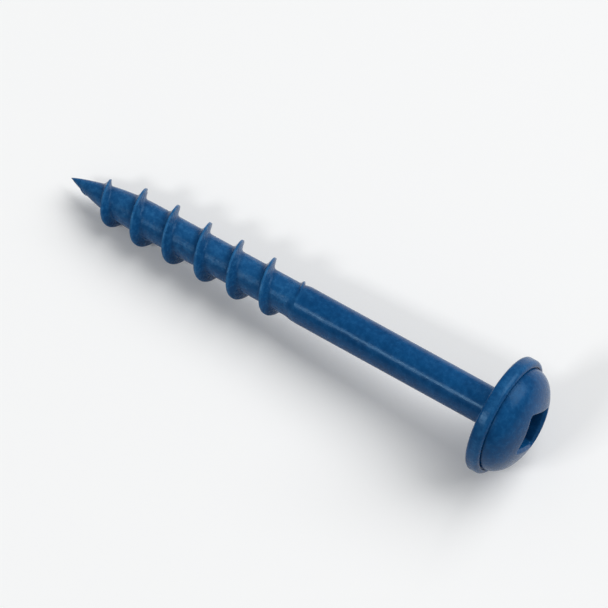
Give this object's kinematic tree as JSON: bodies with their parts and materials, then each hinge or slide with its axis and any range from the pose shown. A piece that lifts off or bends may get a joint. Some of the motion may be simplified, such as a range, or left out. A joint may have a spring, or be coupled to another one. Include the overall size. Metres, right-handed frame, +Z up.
{
  "type": "pocket hole screw",
  "caption": "Coated steel pocket hole screw with a domed washer head, square drive socket, plain shank, coarse wood thread and notched self-tapping point.",
  "frame": {"origin": "centre of the box's base, on the surface that the screw lies on", "axes": "+Z up from that surface; +X towards the head, along the screw as it lies with its rim and a thread crest on the surface"},
  "size_m": [0.0412, 0.0092, 0.0093],
  "materials": {
    "blue_coating": "satin"
  },
  "bodies": {
    "root": {"screw": "blue_coating"}
  },
  "joints": []
}
